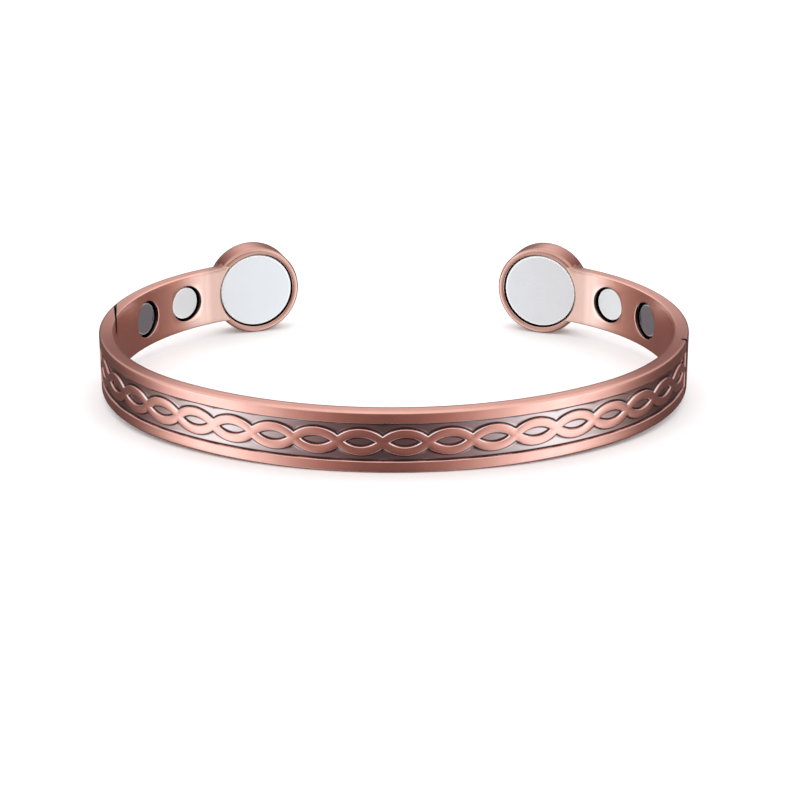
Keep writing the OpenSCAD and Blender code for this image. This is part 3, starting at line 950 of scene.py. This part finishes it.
def nickel(name, colour, low, high, bevel_highlight):
    """Nickel plate: a colour, its least and greatest roughness, and how strong the painted highlight on
    its bevel is.
    """
    made, tree, shader = material(name)
    place = node(tree, "ShaderNodeTexCoord").outputs["Object"]
    in_mm = node(tree, "ShaderNodeVectorMath", {0: place, 1: (1000, 1000, 1000)},
                 operation="MULTIPLY").outputs[0]
    grain = node(tree, "ShaderNodeGroup", {"Vector": in_mm, "Along": 1.2, "Across": 5.0},
                 node_tree=grain_group).outputs
    darker = tuple(0.98 * v for v in colour)
    plate = mixed(tree, ranged(tree, grain["Cloud"], 0.3, 0.7), (*darker, 1), (*colour, 1))
    bevel = times(tree, stored(tree, "bevel"), bevel_highlight)
    tree.links.new(mixed(tree, bevel, plate, BEVEL_HIGHLIGHT), shader.inputs["Base Color"])
    tree.links.new(maths(tree, "SUBTRACT", 1.0, bevel), shader.inputs["Metallic"])
    tree.links.new(ranged(tree, grain["Fine"], 0.3, 0.7, low, high), shader.inputs["Roughness"])
    bump = node(tree, "ShaderNodeBump", {
        "Height": grain["Fine"], "Strength": 0.01, "Distance": 0.00005})
    tree.links.new(bump.outputs[0], shader.inputs["Normal"])
    return made


# The bluish colour of the pair near the front and the near white of the pair near the cups are painted
# reflections. The frost of the second pair is its higher roughness.
plates = {"end": nickel("nickel plate of the end magnets", (0.83, 0.84, 0.86), 0.16, 0.18, 1.0),
          "1": nickel("nickel plate near the front", (0.65, 0.77, 0.87), 0.16, 0.2, 0.3),
          "2": nickel("frosted nickel plate near the cups", (0.94, 0.94, 0.93), 0.4, 0.44, 0.9)}
for name, piece in magnets.items():
    piece.data.materials.append(plates["end" if name.startswith("end") else name[-1]])
print(len(plates), "kinds of nickel plate on", len(magnets), "magnets")

# %% [markdown]
# ## Camera
#
# The camera's place and lens were fitted to the photo, so the render can be laid over it. It looks
# down on the cuff by about 19 degrees, almost straight on. The numbers below are measured from the
# level cuff in mm and degrees, and the camera is then leaned and set down together with it.

# %% Camera
# The angles round, down and of the tilt, the distance, and the point looked at, which is moved
# sideways and up in the picture.
azimuth, elevation, roll = np.radians([-1.291, 21.484, -0.25])
distance, shift_x, shift_y, look_y = 241.6, -0.94, 1.637, 16.59
forward = np.array([np.sin(azimuth) * np.cos(elevation), np.cos(azimuth) * np.cos(elevation),
                    -np.sin(elevation)])
right_hand = np.array([np.cos(azimuth), -np.sin(azimuth), 0])
upward = np.cross(right_hand, forward)
across = np.cos(roll) * right_hand + np.sin(roll) * upward
upward = -np.sin(roll) * right_hand + np.cos(roll) * upward
eye = np.array([0, look_y, 0]) - forward * distance - shift_x * across - shift_y * upward

camera_data = bpy.data.cameras.new("camera")
camera_data.sensor_width = 36
camera_data.lens = 99
camera_data.clip_start = 0.005
camera = bpy.data.objects.new("camera", camera_data)
bpy.context.scene.collection.objects.link(camera)
axes = LEAN @ np.stack([across, upward, -forward], axis=1)
matrix = np.eye(4)
matrix[:3, :3] = axes
matrix[:3, 3] = laid(eye)
camera.matrix_world = Matrix(matrix.tolist())
bpy.context.scene.camera = camera
bpy.context.view_layer.update()
print("the camera stands at", [round(v, 4) for v in camera.matrix_world.translation])

# %% [markdown]
# ## Floor and light
#
# The cuff stands in a white studio. Polished metal shows mostly what is around it, so the room sets
# its tones. A room could be built from lamps and white cards. Here the world itself holds a tone for
# each direction round the cuff, which is quicker to adjust: dark towards the camera and behind the
# cuff, brightest about 60 degrees to each side, and dimmer from straight below. Only glossy rays see
# these tones. The camera and the soft light see plain white, so the background stays white and the
# shadow faint. The metal doesn't mirror the floor, which would fill half of every reflection.

# %% Stage
FLOOR_SIZE = 4.0


def stage_plane(size):
    """A square floor at height 0, with its size in metres, staged so that it isn't a piece."""
    mesh = bpy.data.meshes.new("floor")
    s = size / 2
    mesh.from_pydata([(-s, -s, 0), (s, -s, 0), (s, s, 0), (-s, s, 0)], [], [(0, 1, 2, 3)])
    floor = bpy.data.objects.new("floor", mesh)
    bpy.context.scene.collection.objects.link(floor)
    return floor


floor = stage_plane(FLOOR_SIZE)
floor_paint, tree, shader = material("pale floor")
shader.inputs["Base Color"].default_value = (0.9, 0.9, 0.9, 1)
shader.inputs["Roughness"].default_value = 0.9
rays = node(tree, "ShaderNodeLightPath").outputs
unseen = node(tree, "ShaderNodeBsdfTransparent")
choice = node(tree, "ShaderNodeMixShader", {
    0: rays["Is Glossy Ray"], 1: shader.outputs[0], 2: unseen.outputs[0]})
surface = next(n for n in tree.nodes if n.type == "OUTPUT_MATERIAL")
tree.links.new(choice.outputs[0], surface.inputs[0])
floor.data.materials.append(floor_paint)
print("the floor is", FLOOR_SIZE, "m wide")

# %% Room
# Degrees round from the cuff's front, the same to both sides, with red and green. Blue follows green.
ROOM = [(0, 0.105, 0.07), (10, 0.118, 0.082), (19, 0.2, 0.14), (29, 0.295, 0.23), (38, 0.44, 0.44),
        (48, 0.65, 0.72), (57, 0.82, 0.97), (66, 0.81, 0.97), (72, 0.69, 0.78), (78, 0.49, 0.5),
        (89, 0.28, 0.25), (104, 0.155, 0.125), (118, 0.112, 0.082), (135, 0.095, 0.066),
        (180, 0.085, 0.06)]
ROOM_TURN = 2.5
SKY = (0.5, 0.49, 0.49, 1)

world = bpy.data.worlds.new("studio")
world.use_nodes = True
tree = world.node_tree
tree.nodes.clear()
direction = node(tree, "ShaderNodeTexCoord").outputs["Generated"]
toward = node(tree, "ShaderNodeSeparateXYZ", {0: direction}).outputs
turn = maths(tree, "ARCTAN2", toward[0], maths(tree, "MULTIPLY", toward[1], -1.0))
turn = maths(tree, "ADD", turn, np.radians(ROOM_TURN))
turn = maths(tree, "DIVIDE", maths(tree, "ABSOLUTE", turn), np.pi)
walls = ramp(tree, turn, [
    (degrees / 180, red, green, green * (0.94 + 0.16 * green)) for degrees, red, green in ROOM])
seen = mixed(tree, ranged(tree, toward[2], 0.15, 0.5), walls, SKY)
strength = ranged(tree, toward[2], -0.85, -0.45, 1.2, 2.1)
mirrored = node(tree, "ShaderNodeBackground", {0: seen, 1: strength})
white = node(tree, "ShaderNodeBackground", {0: (1, 1, 1, 1), 1: 1.5})
rays = node(tree, "ShaderNodeLightPath").outputs
choice = node(tree, "ShaderNodeMixShader", {
    0: rays["Is Glossy Ray"], 1: white.outputs[0], 2: mirrored.outputs[0]})
surface = node(tree, "ShaderNodeOutputWorld", {0: choice.outputs[0]})
bpy.context.scene.world = world
bpy.context.scene.view_settings.view_transform = "Standard"
print("the room is brightest", max(ROOM, key=lambda tone: tone[2])[0], "degrees to each side")
